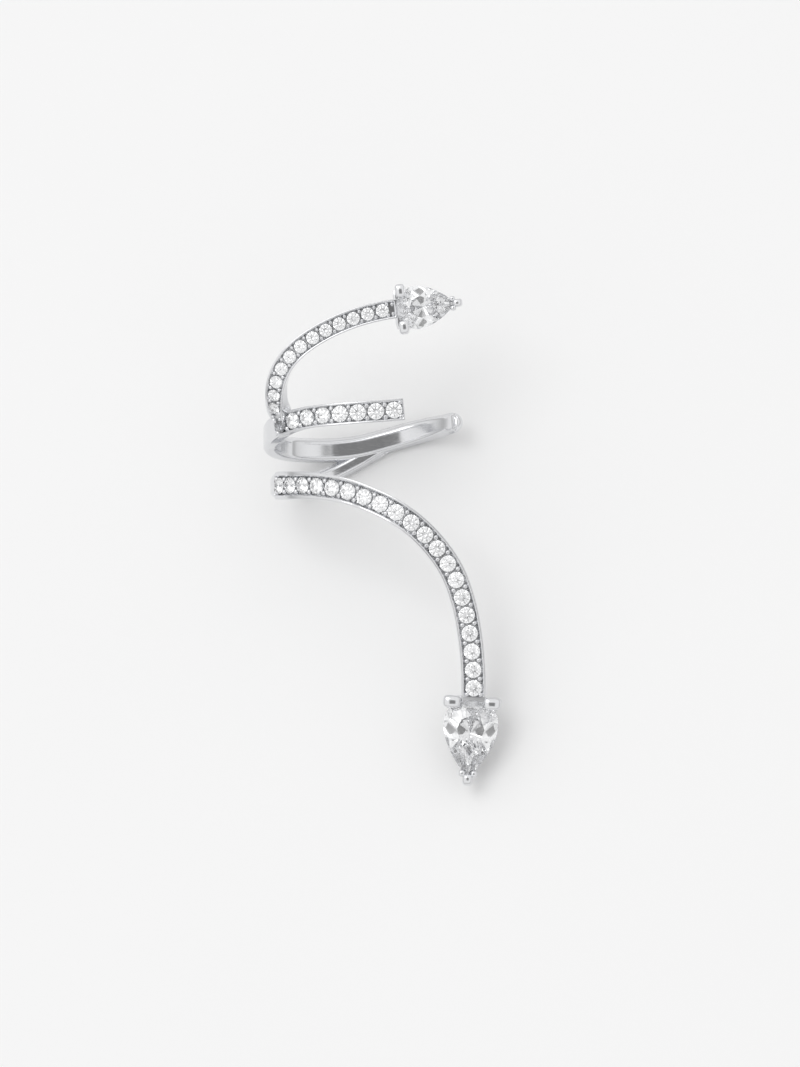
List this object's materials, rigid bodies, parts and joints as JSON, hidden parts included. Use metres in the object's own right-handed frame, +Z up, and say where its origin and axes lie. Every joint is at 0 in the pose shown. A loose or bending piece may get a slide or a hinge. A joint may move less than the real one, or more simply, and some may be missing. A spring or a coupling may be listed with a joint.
{
  "type": "ear cuff",
  "caption": "Polished white metal ear cuff: a C-shaped ear clip and two curved arms set with rows of clear round stones, each arm ending in a pear-shaped stone in claws.",
  "frame": {"origin": "centre of the bounding box at the floor that the cuff lies on", "axes": "+Z up from the floor, +Y from the lower pear stone toward the upper arm, +X toward the clip's mouth"},
  "size_m": [0.0192, 0.0358, 0.0138],
  "materials": {
    "polished_metal": "mirror polished",
    "clear_stone": "faceted and polished"
  },
  "bodies": {
    "root": {"clip_stone_01": "clear_stone", "clip_stone_02": "clear_stone", "clip_stone_03": "clear_stone", "clip_stone_04": "clear_stone", "clip_stone_05": "clear_stone", "clip_stone_06": "clear_stone", "clip_stone_07": "clear_stone", "clip_stone_08": "clear_stone", "cuff_frame": "polished_metal", "lower_arm_stone_01": "clear_stone", "lower_arm_stone_02": "clear_stone", "lower_arm_stone_03": "clear_stone", "lower_arm_stone_04": "clear_stone", "lower_arm_stone_05": "clear_stone", "lower_arm_stone_06": "clear_stone", "lower_arm_stone_07": "clear_stone", "lower_arm_stone_08": "clear_stone", "lower_arm_stone_09": "clear_stone", "lower_arm_stone_10": "clear_stone", "lower_arm_stone_11": "clear_stone", "lower_arm_stone_12": "clear_stone", "lower_arm_stone_13": "clear_stone", "lower_arm_stone_14": "clear_stone", "lower_arm_stone_15": "clear_stone", "lower_arm_stone_16": "clear_stone", "lower_arm_stone_17": "clear_stone", "lower_arm_stone_18": "clear_stone", "lower_arm_stone_19": "clear_stone", "lower_arm_stone_20": "clear_stone", "lower_pear_stone": "clear_stone", "upper_arm_stone_01": "clear_stone", "upper_arm_stone_02": "clear_stone", "upper_arm_stone_03": "clear_stone", "upper_arm_stone_04": "clear_stone", "upper_arm_stone_05": "clear_stone", "upper_arm_stone_06": "clear_stone", "upper_arm_stone_07": "clear_stone", "upper_arm_stone_08": "clear_stone", "upper_arm_stone_09": "clear_stone", "upper_arm_stone_10": "clear_stone", "upper_arm_stone_11": "clear_stone", "upper_arm_stone_12": "clear_stone", "upper_pear_stone": "clear_stone"}
  },
  "joints": []
}
